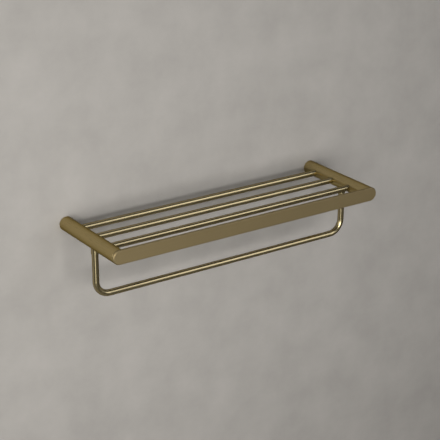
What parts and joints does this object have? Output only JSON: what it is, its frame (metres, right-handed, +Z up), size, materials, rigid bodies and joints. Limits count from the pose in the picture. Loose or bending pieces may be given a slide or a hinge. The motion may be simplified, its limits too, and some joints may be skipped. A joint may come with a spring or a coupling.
{
  "type": "towel shelf with rail",
  "caption": "Wall-mounted towel shelf: round arms, a flat front plate with round ends, round rods between them, and a bent U-shaped towel rail hung below.",
  "frame": {"origin": "on the wall plane, midway between the two arms, at the height of the arms' axes", "axes": "+X along the wall to the right as seen from the room, +Y into the wall, +Z up; the shelf stands out along -Y"},
  "size_m": [0.6, 0.225, 0.1282],
  "materials": {
    "satin_bronze": "brushed satin bronze coating on brass",
    "polished_bronze": "smoother, glossier bronze coating on drawn brass bar",
    "raw_brass": "turned, uncoated",
    "stainless": "plain stainless steel fasteners",
    "grey_nylon": "moulded nylon"
  },
  "bodies": {
    "root": {"arm_left": "satin_bronze", "arm_right": "satin_bronze", "front_plate": "satin_bronze", "rail_collar_left": "polished_bronze", "rail_collar_right": "polished_bronze", "rear_rod": "polished_bronze", "middle_rod": "polished_bronze", "front_rod": "polished_bronze", "towel_rail": "polished_bronze", "wall_post_left": "raw_brass", "wall_post_right": "raw_brass", "plate_spigot_left": "raw_brass", "plate_spigot_right": "raw_brass", "rail_block_left": "raw_brass", "rail_block_right": "raw_brass", "plate_screws": "stainless", "rail_lock_screws": "stainless", "arm_grub_screws": "stainless", "wall_screws": "stainless", "wall_plugs": "grey_nylon"}
  },
  "joints": []
}
